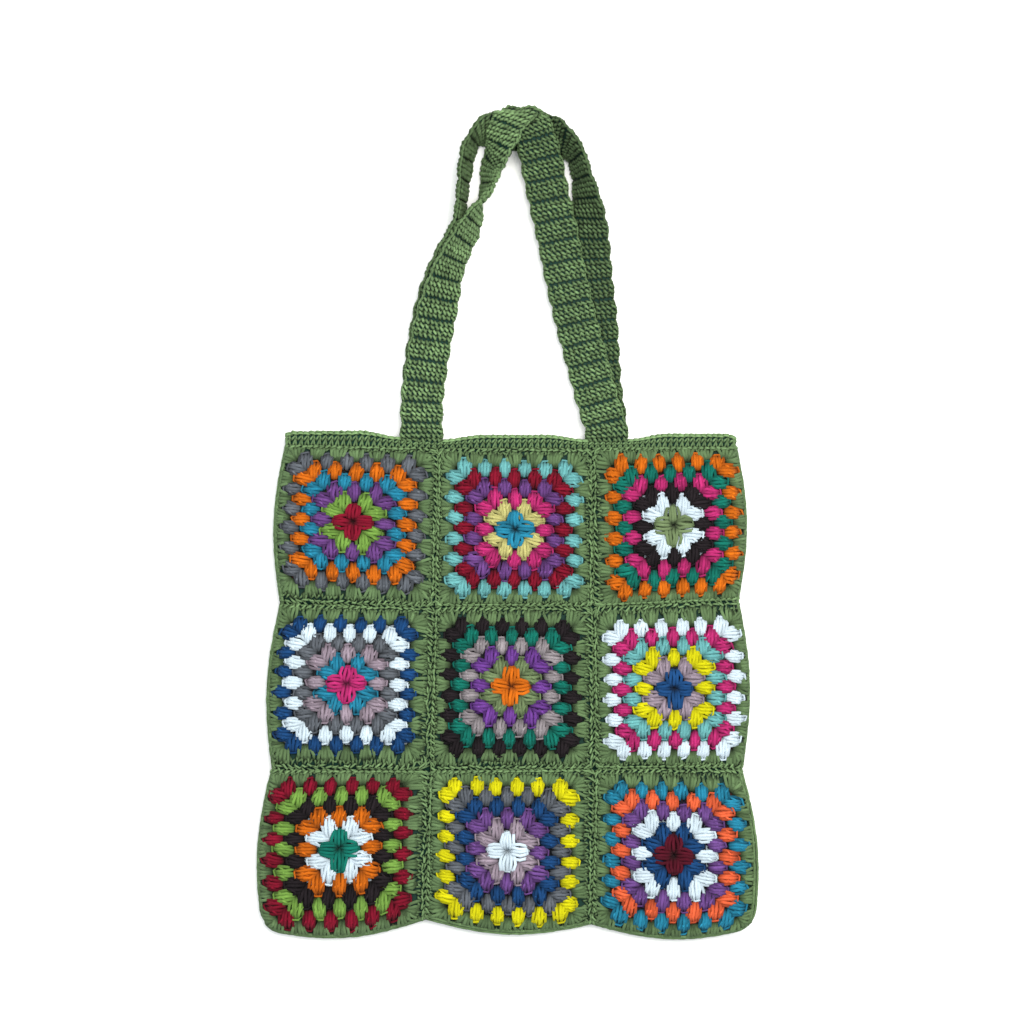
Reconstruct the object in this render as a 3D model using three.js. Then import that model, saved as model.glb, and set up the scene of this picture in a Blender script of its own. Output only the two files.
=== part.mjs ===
// A crocheted granny square tote bag, lying on its back with both handles spread above the mouth.
// Millimetres. +Y runs from the hem to the handles, +Z is up from the surface that the bag lies on.
import * as THREE from "three";

// Panels
const PANEL_WIDTH = 374; // across the two hem corners
const PANEL_HEIGHT = 359; // from the hem to the foot of the band
const FABRIC = 4; // thickness of the crocheted squares
const HOLLOW = 6.5; // free height between the two walls, along the seams
const DOME = 4; // rise of each square's middle above its seams
const CREASE = 1.5; // depth of the crease along each seam
const SIDE_SWELL = 7; // how far a square's side bulges past its seams
const HEM_SWELL = 10; // the same along the hem
const HEM_CORNER = 13; // radius of the bag's two lower corners
const FOLD_RUN = 9; // width of the rounded turn from front to back
const GAP = 0.3; // clearance between neighbouring pieces

// Band round the mouth
const BAND_HEIGHT = 5.7; // at the feet of the handles
const BAND_FABRIC = 4;
const MOUTH_RISE = 3.6; // how far the band's edge rises between and beside the handles
const MOUTH_EASE = 30; // distance over which it rises

// Handles
const STRAP_WIDTH = 31;
const STRAP_FABRIC = 4;
const STRAP_EDGE = 1; // rounding of the strap's long edges
const STRAP_SPACING = 141; // between the middles of a handle's two feet
const HANDLE_RISE = 253; // from the mouth to the top of the front handle
const HANDLE_SHIFT = 4.7; // the handles stand a little right of the bag's middle

// Levels above the surface that the bag lies on
const FRONT_TOP = 2 * FABRIC + HOLLOW;
const RIM = FRONT_TOP / 2;
const FRONT_FOOT = FRONT_TOP - BAND_FABRIC;

const COLUMNS = 3;
const ROWS = 3;
const PITCH_X = PANEL_WIDTH / COLUMNS;
const PITCH_Y = PANEL_HEIGHT / ROWS;

// Builds row objects from column names and rows of numbers.
function table(columns, rows) {
  return rows.map((row) => Object.fromEntries(columns.map((name, i) => [name, row[i]])));
}

// Where the seams cross, a row for each line of crossings from the hem up.
// x columns are shares of the panel's width, y columns of its height.
const CROSSINGS = table(
  ["x0", "y0", "x1", "y1", "x2", "y2", "x3", "y3"],
  [
    [-0.5, -0.017, -0.169, 0.004, 0.171, -0.006, 0.5, -0.013],
    [-0.48, 0.318, -0.159, 0.316, 0.177, 0.32, 0.472, 0.322],
    [-0.463, 0.67, -0.149, 0.663, 0.173, 0.665, 0.463, 0.678],
    [-0.453, 1.006, -0.141, 1, 0.171, 1, 0.46, 1.002],
  ],
);

// Heights of a strap's lower edge: level is a share of the front wall's height at the mouth,
// ply of the strap's thickness and edge of its width. Turn is in degrees about the strap's length.
const STRAP_COLUMNS = ["rise", "across", "turn", "level", "ply", "edge"];
const FRONT_HANDLE = table(STRAP_COLUMNS, [
  [0, -0.5, 0, 1, 0, 0],
  [0.046, -0.5, 0, 0.95, 0, 0],
  [0.124, -0.496, 0, 0.45, 0.7, 0],
  [0.223, -0.473, -6, 0.1, 1.1, 0],
  [0.322, -0.442, -15, 0, 1.3, 0],
  [0.422, -0.4, -30, 0, 1.25, 0],
  [0.506, -0.357, -47, 0, 1.05, 0],
  [0.581, -0.295, -57, 0, 0.9, 0],
  [0.629, -0.247, -62, 0, 0.6, 0],
  [0.674, -0.209, -73, 0, 0.2, 0],
  [0.71, -0.182, -91, 0, 0, 0],
  [0.743, -0.153, -102, 0, 0, 0],
  [0.779, -0.138, -111, 0, 0.1, 0],
  [0.827, -0.12, -118, 0, 0.7, 0],
  [0.863, -0.094, -127, 0, 2.5, 0],
  [0.903, -0.067, -140, 0, 3.6, 0],
  [0.954, -0.028, -159, 0, 2.8, 0.22],
  [0.987, 0.015, -180, 0, 2.65, 0.31],
  [1, 0.039, -180, 0, 1.9, 0.31],
  [0.987, 0.063, -180, 0, 1.15, 0.31],
  [0.954, 0.09, -180, 0, 1.25, 0.33],
  [0.873, 0.133, -180, 0, 1.25, 0.22],
  [0.782, 0.168, -180, 0, 1.25, 0.1],
  [0.716, 0.193, -180, 0, 1.3, 0.1],
  [0.647, 0.222, -180, 0, 1.3, 0.11],
  [0.575, 0.249, -180, 0, 1.3, 0.07],
  [0.479, 0.284, -180, 0, 1.3, 0.04],
  [0.361, 0.333, -180, 0, 1.25, 0.01],
  [0.262, 0.381, -180, 0, 1.25, 0],
  [0.166, 0.427, -180, 0.1, 1, 0],
  [0.085, 0.468, -180, 0.55, 0.5, 0],
  [0.037, 0.495, -180, 0.95, 0, 0],
  [0, 0.5, -180, 1, 0, 0],
]);
const BACK_HANDLE = table(STRAP_COLUMNS, [
  [0, -0.5, 0, 0, 0, 0],
  [0.046, -0.5, 0, 0, 0, 0],
  [0.124, -0.5, 0, 0, 0, 0],
  [0.223, -0.484, -5, 0, 0, 0],
  [0.322, -0.457, -14, 0, 0, 0],
  [0.422, -0.422, -28, 0, 0, 0],
  [0.506, -0.384, -46, 0, 0, 0],
  [0.581, -0.336, -60, 0, 0, 0],
  [0.629, -0.306, -72, 0, 0, 0],
  [0.674, -0.29, -80, 0, 0, 0],
  [0.716, -0.284, -81, 0, 0, 0],
  [0.761, -0.276, -81, 0, 0, 0],
  [0.818, -0.263, -77, 0, 0, 0],
  [0.875, -0.243, -76, 0, 0, 0],
  [0.914, -0.2, -73, 0, 0, 0],
  [0.934, -0.15, -48, 0, 0, 0],
  [0.934, -0.092, -20, 0, 0, 0],
  [0.934, 0.004, -15, 0, 0, 0],
  [0.933, 0.099, -15, 0, 0, 0],
  [0.924, 0.173, -20, 0, 0, 0],
  [0.907, 0.236, -38, 0, 0, 0],
  [0.885, 0.293, -63, 0, 0, 0],
  [0.848, 0.337, -68, 0, 0, 0],
  [0.803, 0.36, -68, 0, 0, 0],
  [0.751, 0.381, -59, 0, 0, 0],
  [0.7, 0.395, -45, 0, 0, 0],
  [0.638, 0.403, -27, 0, 0, 0],
  [0.554, 0.411, -13, 0, 0, 0],
  [0.464, 0.425, -6, 0, 0, 0],
  [0.361, 0.446, -2, 0, 0, 0],
  [0.262, 0.457, 0, 0, 0, 0],
  [0.166, 0.468, 0, 0, 0, 0],
  [0.085, 0.489, 0, 0, 0, 0],
  [0.037, 0.5, 0, 0, 0, 0],
  [0, 0.5, 0, 0, 0, 0],
]);
const FOLD_RISE = 0.98; // the front handle's rows above this share lie in its fold
const GATHER = 0.2; // share of its width that a strap loses at the top of the fold
const GATHER_RISE = 0.9; // where it begins to narrow
const STRAP_STEPS = 2; // sections from one row of a handle's table to the next

const lerp = THREE.MathUtils.lerp;
const smoothstep = THREE.MathUtils.smoothstep;

// A closed body from a vertex list and a list of quads, each counter-clockwise from outside.
function bodyOf(vertices, quads) {
  const geometry = new THREE.BufferGeometry();
  geometry.setFromPoints(vertices);
  geometry.setIndex(quads.flatMap(([a, b, c, d]) => [a, b, c, a, c, d]));
  geometry.computeVertexNormals();
  return geometry;
}

// Joins equal rings of points into one body. The rings run counter-clockwise about their route.
function loft(rings, closed) {
  const sides = rings[0].length;
  const last = rings.length - 1;
  const quads = [];
  for (let k = 0; k < (closed ? rings.length : last); k++) {
    const next = (k + 1) % rings.length;
    for (let m = 0; m < sides; m++) {
      const n = (m + 1) % sides;
      quads.push([k * sides + m, k * sides + n, next * sides + n, next * sides + m]);
    }
  }
  if (!closed) {
    for (let m = 1; m < sides - 2; m += 2) {
      quads.push([0, m + 2, m + 1, m]);
      quads.push([last * sides, last * sides + m, last * sides + m + 1, last * sides + m + 2]);
    }
  }
  return bodyOf(rings.flat(), quads);
}

// Panel surface

// Plan position at u columns from the left side and v rows above the hem.
function panelPlan(u, v) {
  const column = Math.min(Math.floor(u), COLUMNS - 1);
  const row = Math.min(Math.floor(v), ROWS - 1);
  const s = u - column;
  const t = v - row;
  const cornerMix = (axis) =>
    lerp(
      lerp(CROSSINGS[row][axis + column], CROSSINGS[row][axis + (column + 1)], s),
      lerp(CROSSINGS[row + 1][axis + column], CROSSINGS[row + 1][axis + (column + 1)], s),
      t,
    );
  const nearness = (distance) => Math.max(0, 1 - distance) ** 2;
  const swell = SIDE_SWELL * Math.sin(Math.PI * t);
  let x = PANEL_WIDTH * cornerMix("x");
  let y = PANEL_HEIGHT * cornerMix("y");
  x += swell * (nearness(COLUMNS - u) - nearness(u));
  y -= HEM_SWELL * Math.sin(Math.PI * s) * nearness(v);
  // The square corner between side and hem becomes a round one.
  const p = Math.max(0, 1 - (Math.min(u, COLUMNS - u) * PITCH_X) / HEM_CORNER);
  const q = Math.max(0, 1 - (v * PITCH_Y) / HEM_CORNER);
  x -= Math.sign(u - COLUMNS / 2) * HEM_CORNER * p * (1 - Math.sqrt(1 - (q * q) / 2));
  y += HEM_CORNER * q * (1 - Math.sqrt(1 - (p * p) / 2));
  return { x, y };
}

// Rise and inset of the rounded turn at a distance from the bag's edge.
function foldAt(distance) {
  const inset = Math.max(0, 1 - distance / FOLD_RUN);
  return { rise: Math.sqrt(1 - inset * inset), inset };
}

const domeAt = (share) => 1 - Math.abs(2 * share - 1) ** 3;
const CREASE_RUN = 3; // half width of the crease along a seam
const creaseAt = (distance) => Math.max(0, 1 - distance / CREASE_RUN);

// A point on the front or back wall, on its outer or inner surface.
function wallPoint(u, v, front, inner) {
  const plan = panelPlan(u, v);
  const side = foldAt(Math.min(u, COLUMNS - u) * PITCH_X);
  const hem = foldAt(v * PITCH_Y);
  const depth = inner ? FABRIC : 0;
  const x = plan.x - Math.sign(u - COLUMNS / 2) * depth * side.inset;
  const y = plan.y + depth * hem.inset;
  const swell = front ? DOME * domeAt(u % 1) * domeAt(v % 1) : 0;
  const fromSeamX = u < 0.5 || u > COLUMNS - 0.5 ? Infinity : Math.abs(u - Math.round(u)) * PITCH_X;
  const fromSeamY = v < 0.5 ? Infinity : Math.abs(v - Math.round(v)) * PITCH_Y;
  const crease = inner ? 0 : CREASE * Math.max(creaseAt(fromSeamX), creaseAt(fromSeamY));
  const rim = front ? RIM + GAP / 2 : RIM - GAP / 2;
  const level = front ? FRONT_TOP - depth + swell - crease : depth + crease;
  return new THREE.Vector3(x, y, lerp(rim, level, side.rise * hem.rise));
}

const FOLD_STATIONS = [0, 0.134, 0.5, 1]; // sections over the rounded turn, as shares of its width
const SEAM_STATIONS = [0.11, 0.28]; // sections over a square's slope, as shares of the square
const EDGE_STATIONS = [0.16, 0.3]; // the same past the rounded turn

// Shares across a square where its surface has a section, from one edge to the other.
function stations(startsAtEdge, endsAtEdge, pitch) {
  const seamEnd = [GAP / 2 / pitch, CREASE_RUN / pitch, ...SEAM_STATIONS];
  const edgeEnd = [...FOLD_STATIONS.map((share) => (share * FOLD_RUN) / pitch), ...EDGE_STATIONS];
  const start = startsAtEdge ? edgeEnd : seamEnd;
  const end = endsAtEdge ? edgeEnd : seamEnd;
  return [...start, 0.5, ...end.toReversed().map((share) => 1 - share)];
}

// One square of the wall, as a curved slab.
function squareBody(column, row, front) {
  const us = stations(column === 0, column === COLUMNS - 1, PITCH_X).map((s) => column + s);
  const vs = stations(row === 0, false, PITCH_Y).map((s) => row + s);
  const vertices = [false, true].flatMap((inner) =>
    vs.flatMap((v) => us.map((u) => wallPoint(u, v, front, inner))),
  );
  const [nu, nv] = [us.length, vs.length];
  const outer = (i, j) => j * nu + i;
  const inner = (i, j) => (nv + j) * nu + i;
  const quads = [];
  for (let j = 0; j < nv - 1; j++) {
    for (let i = 0; i < nu - 1; i++) {
      quads.push([outer(i, j), outer(i + 1, j), outer(i + 1, j + 1), outer(i, j + 1)]);
      quads.push([inner(i, j), inner(i, j + 1), inner(i + 1, j + 1), inner(i + 1, j)]);
    }
  }
  for (let i = 0; i < nu - 1; i++) {
    quads.push([inner(i, 0), inner(i + 1, 0), outer(i + 1, 0), outer(i, 0)]);
    quads.push([outer(i, nv - 1), outer(i + 1, nv - 1), inner(i + 1, nv - 1), inner(i, nv - 1)]);
  }
  for (let j = 0; j < nv - 1; j++) {
    quads.push([inner(0, j), outer(0, j), outer(0, j + 1), inner(0, j + 1)]);
    quads.push([outer(nu - 1, j), inner(nu - 1, j), inner(nu - 1, j + 1), outer(nu - 1, j + 1)]);
  }
  return bodyOf(vertices, front ? quads : quads.map((quad) => quad.toReversed()));
}

// Band round the mouth

const ROOT_LINE = PANEL_HEIGHT + BAND_HEIGHT;
const FEET = [HANDLE_SHIFT - STRAP_SPACING / 2, HANDLE_SHIFT + STRAP_SPACING / 2];
const FOOT_HALF = STRAP_WIDTH / 2 + 1;

// Height of the band's free edge, level at the handles' feet and higher elsewhere.
function mouthEdge(x) {
  const away = Math.min(...FEET.map((foot) => Math.abs(x - foot))) - FOOT_HALF;
  return ROOT_LINE + MOUTH_RISE * smoothstep(away, 0, MOUTH_EASE);
}

// The share of the columns that lies at x along the foot of the band.
function columnAt(x) {
  const top = CROSSINGS[ROWS];
  const edges = [0, 1, 2, 3].map((i) => PANEL_WIDTH * top["x" + i]);
  const column = Math.max(0, Math.min(COLUMNS - 1, edges.findLastIndex((edge) => x >= edge)));
  return column + (x - edges[column]) / (edges[column + 1] - edges[column]);
}

function bandBody() {
  const turn = FOLD_STATIONS.map((share) => (share * FOLD_RUN) / PITCH_X);
  const offsets = [0, MOUTH_EASE / 2, MOUTH_EASE].map((ease) => FOOT_HALF + ease);
  const feet = FEET.flatMap((foot) => offsets.flatMap((o) => [columnAt(foot - o), columnAt(foot + o)]));
  const past = turn.at(-1);
  const inside = feet.filter((u) => u > past && u < COLUMNS - past);
  const across = [...turn, ...inside, ...turn.map((u) => COLUMNS - u)].sort((a, b) => a - b);
  const section = (u, front) => {
    const foot = panelPlan(u, ROWS);
    const { rise, inset } = foldAt(Math.min(u, COLUMNS - u) * PITCH_X);
    const inward = -Math.sign(u - COLUMNS / 2) * BAND_FABRIC * inset;
    const outerLevel = front ? FRONT_TOP : 0;
    const innerLevel = front ? FRONT_TOP - BAND_FABRIC : BAND_FABRIC;
    const low = foot.y + GAP / 2;
    const high = mouthEdge(foot.x);
    const outerZ = lerp(RIM, outerLevel, rise);
    const innerZ = lerp(RIM, innerLevel, rise);
    return [
      new THREE.Vector3(foot.x, low, outerZ),
      new THREE.Vector3(foot.x, high, outerZ),
      new THREE.Vector3(foot.x + inward, high, innerZ),
      new THREE.Vector3(foot.x + inward, low, innerZ),
    ];
  };
  const overFront = across.map((u) => section(u, true));
  const underBack = across.slice(1, -1).toReversed().map((u) => section(u, false));
  return loft([...overFront, ...underBack].toReversed(), true);
}

// Handles

// A value between the rows of a list, on a Catmull-Rom curve.
function between(values, index, t) {
  const at = (i) => values[Math.max(0, Math.min(values.length - 1, i))];
  const [a, b, c, d] = [at(index - 1), at(index), at(index + 1), at(index + 2)];
  const bend = 2 * a - 5 * b + 4 * c - d + (3 * b - a - 3 * c + d) * t;
  return b + 0.5 * t * (c - a + t * bend);
}

// The strap's middle line, turn and lie of its stitch rows, at each row of its table.
function strapRows(rows) {
  const points = rows.map((row) => {
    const turn = THREE.MathUtils.degToRad(row.turn);
    const low = row.level * FRONT_FOOT + row.ply * STRAP_FABRIC + row.edge * STRAP_WIDTH + GAP;
    const width = STRAP_WIDTH * (1 - GATHER * smoothstep(row.rise, GATHER_RISE, 1));
    return {
      x: HANDLE_SHIFT + row.across * STRAP_SPACING,
      y: ROOT_LINE + GAP + row.rise * (HANDLE_RISE - GAP),
      z: low + (width * Math.abs(Math.sin(turn)) + STRAP_FABRIC * Math.abs(Math.cos(turn))) / 2,
      turn,
      width,
    };
  });
  let folded = 1;
  points.forEach((point, i) => {
    const before = points[Math.max(0, i - 1)];
    const after = points[Math.min(points.length - 1, i + 1)];
    const inFold = rows[i].turn === -180 && rows[i].rise > FOLD_RISE;
    if (inFold) folded = -1;
    const atFoot = i === 0 || i === points.length - 1;
    const dx = atFoot ? 0 : after.x - before.x;
    const dy = atFoot ? Math.sign(after.y - before.y) : after.y - before.y;
    point.lie = inFold ? 0 : Math.atan2(-dx * folded, dy * folded);
  });
  for (let i = 1; i < points.length; i++) {
    const step = points[i].lie - points[i - 1].lie;
    points[i].lie -= 2 * Math.PI * Math.round(step / (2 * Math.PI));
  }
  return points;
}

function strapBody(rows) {
  const points = strapRows(rows);
  const lists = Object.fromEntries(
    ["x", "y", "z", "turn", "lie", "width"].map((key) => [key, points.map((point) => point[key])]),
  );
  const frames = [];
  for (let i = 0; i < (points.length - 1) * STRAP_STEPS + 1; i++) {
    const index = Math.min(Math.floor(i / STRAP_STEPS), points.length - 2);
    const t = i / STRAP_STEPS - index;
    const value = (key) => between(lists[key], index, t);
    frames.push({
      centre: new THREE.Vector3(value("x"), value("y"), value("z")),
      turn: value("turn"),
      lie: value("lie"),
      wide: value("width") / 2,
    });
  }
  const thick = STRAP_FABRIC / 2;
  const profile = (wide) => [
    [wide, thick - STRAP_EDGE],
    [wide, STRAP_EDGE - thick],
    [wide - STRAP_EDGE, -thick],
    [STRAP_EDGE - wide, -thick],
    [-wide, STRAP_EDGE - thick],
    [-wide, thick - STRAP_EDGE],
    [STRAP_EDGE - wide, thick],
    [wide - STRAP_EDGE, thick],
  ];
  const rings = frames.map((frame, i) => {
    const ahead = frames[Math.min(i + 1, frames.length - 1)].centre;
    const behind = frames[Math.max(i - 1, 0)].centre;
    const travel = new THREE.Vector3().subVectors(ahead, behind).normalize();
    if (i === 0) travel.set(0, 1, 0);
    if (i === frames.length - 1) travel.set(0, -1, 0);
    const row = new THREE.Vector3(Math.cos(frame.lie), Math.sin(frame.lie), 0);
    const over = new THREE.Vector3().crossVectors(row, travel).normalize();
    const side = row.multiplyScalar(Math.cos(frame.turn)).addScaledVector(over, Math.sin(frame.turn));
    const face = new THREE.Vector3().crossVectors(side, travel);
    side.divideScalar(face.length());
    face.normalize();
    return profile(frame.wide).map(([s, f]) =>
      frame.centre.clone().addScaledVector(side, s).addScaledVector(face, f),
    );
  });
  return loft(rings, false);
}

// Yarn colours, and the yarn of the outermost coloured round of each square, from the hem up
const YARN = {
  green: 0x60864a,
  slate: 0x5f6978,
  aqua: 0x78d7c8,
  orange: 0xfa820a,
  navy: 0x004187,
  brown: 0x322320,
  white: 0xebf5fa,
  crimson: 0xb20028,
  yellow: 0xfae600,
  turquoise: 0x0096c8,
};
const FRONT_SQUARES = [
  ["crimson", "yellow", "turquoise"],
  ["navy", "brown", "white"],
  ["slate", "aqua", "orange"],
];
const BACK_SQUARES = FRONT_SQUARES.map((row) => row.toReversed()).toReversed();

const bag = new THREE.Group();

function addPiece(name, geometry, yarn) {
  const material = new THREE.MeshStandardMaterial({ color: YARN[yarn], roughness: 0.9, metalness: 0 });
  const mesh = new THREE.Mesh(geometry, material);
  mesh.name = name;
  bag.add(mesh);
}

for (let row = 0; row < ROWS; row++) {
  for (let column = 0; column < COLUMNS; column++) {
    const place = "_row" + (ROWS - row) + "_col" + (column + 1);
    addPiece("square_front" + place, squareBody(column, row, true), FRONT_SQUARES[row][column]);
    addPiece("square_back" + place, squareBody(column, row, false), BACK_SQUARES[row][column]);
  }
}
addPiece("top_band", bandBody(), "green");
addPiece("handle_front", strapBody(FRONT_HANDLE), "green");
addPiece("handle_back", strapBody(BACK_HANDLE), "green");

// The origin is on the resting surface, under the middle of the whole bag.
const extent = new THREE.Box3().setFromObject(bag, true);
const middle = extent.getCenter(new THREE.Vector3());
bag.position.set(-middle.x, -middle.y, -extent.min.z);

export default bag;
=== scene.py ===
# A crocheted granny square tote bag. Each square, the mouth's band and each strap is one piece:
# a ground of fabric, darkened with painted shade, under strands of yarn. Metres, in the frame of the
# imported part.
import math

import bpy
import numpy as np
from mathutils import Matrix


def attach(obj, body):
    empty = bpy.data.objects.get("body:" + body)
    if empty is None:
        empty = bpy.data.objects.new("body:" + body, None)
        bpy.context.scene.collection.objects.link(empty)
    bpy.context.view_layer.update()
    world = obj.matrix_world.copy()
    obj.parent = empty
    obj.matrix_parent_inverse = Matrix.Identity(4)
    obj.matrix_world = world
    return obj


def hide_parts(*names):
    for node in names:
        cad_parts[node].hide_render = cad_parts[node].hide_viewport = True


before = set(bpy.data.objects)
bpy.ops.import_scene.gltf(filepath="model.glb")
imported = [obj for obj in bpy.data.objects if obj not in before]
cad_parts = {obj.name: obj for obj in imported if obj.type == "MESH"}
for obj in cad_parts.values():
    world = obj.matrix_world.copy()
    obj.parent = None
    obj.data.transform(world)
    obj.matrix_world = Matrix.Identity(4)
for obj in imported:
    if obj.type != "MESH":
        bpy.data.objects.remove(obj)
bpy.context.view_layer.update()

MM = 0.001

# Sizes of the bag, as in the part's source
MIDDLE = np.array([0.4488, -303.1448]) * MM  # the middle of the hem line
PANEL_WIDTH = 374 * MM
PANEL_HEIGHT = 359 * MM
FABRIC = 4 * MM
HOLLOW = 6.5 * MM
DOME = 4 * MM
SIDE_SWELL = 7 * MM
HEM_SWELL = 10 * MM
HEM_CORNER = 13 * MM
FOLD_RUN = 9 * MM
GAP = 0.3 * MM
BAND_HEIGHT = 5.7 * MM
BAND_FABRIC = 4 * MM
MOUTH_RISE = 3.6 * MM
MOUTH_EASE = 30 * MM
STRAP_WIDTH = 31 * MM
STRAP_FABRIC = 4 * MM
STRAP_SPACING = 141 * MM
HANDLE_RISE = 253 * MM
HANDLE_SHIFT = 4.7 * MM
FRONT_TOP = 2 * FABRIC + HOLLOW
RIM = FRONT_TOP / 2
FRONT_FOOT = FRONT_TOP - BAND_FABRIC
COLUMNS = 3
ROWS = 3
PITCH_X = PANEL_WIDTH / COLUMNS
PITCH_Y = PANEL_HEIGHT / ROWS
ROOT_LINE = PANEL_HEIGHT + BAND_HEIGHT
FOLD_RISE = 0.98
GATHER = 0.2
GATHER_RISE = 0.9

# Where the seams cross, as in the part's source: shares of the panel's width and height
CROSSINGS_X = np.array([
    [-0.5, -0.169, 0.171, 0.5],
    [-0.48, -0.159, 0.177, 0.472],
    [-0.463, -0.149, 0.173, 0.463],
    [-0.453, -0.141, 0.171, 0.46],
])
CROSSINGS_Y = np.array([
    [-0.017, 0.004, -0.006, -0.013],
    [0.318, 0.316, 0.32, 0.322],
    [0.67, 0.663, 0.665, 0.678],
    [1.006, 1, 1, 1.002],
])

# Rows of the two straps, as in the part's source: rise, across, turn, level, ply, edge, the last
# three 0 where a row leaves them out
FRONT_HANDLE = [
    [0, -0.5, 0, 1, 0, 0],
    [0.046, -0.5, 0, 0.95, 0, 0],
    [0.124, -0.496, 0, 0.45, 0.7, 0],
    [0.223, -0.473, -6, 0.1, 1.1, 0],
    [0.322, -0.442, -15, 0, 1.3, 0],
    [0.422, -0.4, -30, 0, 1.25, 0],
    [0.506, -0.357, -47, 0, 1.05, 0],
    [0.581, -0.295, -57, 0, 0.9, 0],
    [0.629, -0.247, -62, 0, 0.6, 0],
    [0.674, -0.209, -73, 0, 0.2, 0],
    [0.71, -0.182, -91, 0, 0, 0],
    [0.743, -0.153, -102, 0, 0, 0],
    [0.779, -0.138, -111, 0, 0.1, 0],
    [0.827, -0.12, -118, 0, 0.7, 0],
    [0.863, -0.094, -127, 0, 2.5, 0],
    [0.903, -0.067, -140, 0, 3.6, 0],
    [0.954, -0.028, -159, 0, 2.8, 0.22],
    [0.987, 0.015, -180, 0, 2.65, 0.31],
    [1, 0.039, -180, 0, 1.9, 0.31],
    [0.987, 0.063, -180, 0, 1.15, 0.31],
    [0.954, 0.09, -180, 0, 1.25, 0.33],
    [0.873, 0.133, -180, 0, 1.25, 0.22],
    [0.782, 0.168, -180, 0, 1.25, 0.1],
    [0.716, 0.193, -180, 0, 1.3, 0.1],
    [0.647, 0.222, -180, 0, 1.3, 0.11],
    [0.575, 0.249, -180, 0, 1.3, 0.07],
    [0.479, 0.284, -180, 0, 1.3, 0.04],
    [0.361, 0.333, -180, 0, 1.25, 0.01],
    [0.262, 0.381, -180, 0, 1.25, 0],
    [0.166, 0.427, -180, 0.1, 1, 0],
    [0.085, 0.468, -180, 0.55, 0.5, 0],
    [0.037, 0.495, -180, 0.95, 0, 0],
    [0, 0.5, -180, 1, 0, 0],
]
BACK_HANDLE = [
    [0, -0.5, 0],
    [0.046, -0.5, 0],
    [0.124, -0.5, 0],
    [0.223, -0.484, -5],
    [0.322, -0.457, -14],
    [0.422, -0.422, -28],
    [0.506, -0.384, -46],
    [0.581, -0.336, -60],
    [0.629, -0.306, -72],
    [0.674, -0.29, -80],
    [0.716, -0.284, -81],
    [0.761, -0.276, -81],
    [0.818, -0.263, -77],
    [0.875, -0.243, -76],
    [0.914, -0.2, -73],
    [0.934, -0.15, -48],
    [0.934, -0.092, -20],
    [0.934, 0.004, -15],
    [0.933, 0.099, -15],
    [0.924, 0.173, -20],
    [0.907, 0.236, -38],
    [0.885, 0.293, -63],
    [0.848, 0.337, -68],
    [0.803, 0.36, -68],
    [0.751, 0.381, -59],
    [0.7, 0.395, -45],
    [0.638, 0.403, -27],
    [0.554, 0.411, -13],
    [0.464, 0.425, -6],
    [0.361, 0.446, -2],
    [0.262, 0.457, 0],
    [0.166, 0.468, 0],
    [0.085, 0.489, 0],
    [0.037, 0.5, 0],
    [0, 0.5, 0],
]

# Yarn colours as sRGB shares
YARNS = {
    "green": (0.38, 0.48, 0.32),
    # a bluer green for the painted shade on the ground under the green yarn
    "painted_shade_green": (0.2, 0.42, 0.36),
    "leaf": (0.33, 0.39, 0.265),
    "crimson": (0.375, 0.0, 0.095),
    "dark_crimson": (0.24, 0.0, 0.07),
    "lime": (0.36, 0.49, 0.205),
    "purple": (0.315, 0.185, 0.39),
    "violet": (0.315, 0.165, 0.43),
    "plum": (0.315, 0.2, 0.405),
    "turquoise": (0.085, 0.385, 0.485),
    "orange": (0.635, 0.31, 0.01),
    "coral": (0.695, 0.29, 0.165),
    "slate": (0.275, 0.29, 0.315),
    "pale_yellow": (0.62, 0.6, 0.375),
    "magenta": (0.555, 0.11, 0.325),
    "aqua": (0.325, 0.545, 0.55),
    "white": (0.695, 0.75, 0.79),
    "brown": (0.07, 0.045, 0.06),
    "emerald": (0.0, 0.325, 0.28),
    "dusty_pink": (0.475, 0.425, 0.47),
    "mauve": (0.445, 0.42, 0.435),
    "royal": (0.035, 0.19, 0.35),
    "yellow": (0.685, 0.665, 0.0),
}

# The yarns of each square from its centre outwards, rows from the mouth to the hem
CHART = [
    [
        ["crimson", "lime", "purple", "turquoise", "orange", "slate"],
        ["turquoise", "pale_yellow", "magenta", "purple", "crimson", "aqua"],
        ["leaf", "white", "brown", "magenta", "emerald", "orange"],
    ],
    [
        ["magenta", "turquoise", "dusty_pink", "slate", "white", "royal"],
        ["orange", "leaf", "violet", "mauve", "emerald", "brown"],
        ["royal", "dusty_pink", "yellow", "aqua", "magenta", "white"],
    ],
    [
        ["emerald", "white", "orange", "brown", "lime", "crimson"],
        ["white", "dusty_pink", "plum", "royal", "slate", "yellow"],
        ["dark_crimson", "royal", "white", "plum", "coral", "turquoise"],
    ],
]
GREENS = ["green", "painted_shade_green"]  # the edges', band's and straps' yarn, and a bluer green painted as shade on the ground under it


def mix(a, b, t):
    return a + (b - a) * t


def unit(vectors):
    return vectors / np.linalg.norm(vectors, axis=-1, keepdims=True)


PRESSED = 1.15 * MM  # lowest middle of a strand that lies on the surface under the bag


def above_floor(points):
    """Points pressed up to where a strand lies on the surface under the bag."""
    return np.concatenate([points[..., :2], np.maximum(points[..., 2:], PRESSED)], -1)


# Surfaces of the bag

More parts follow.
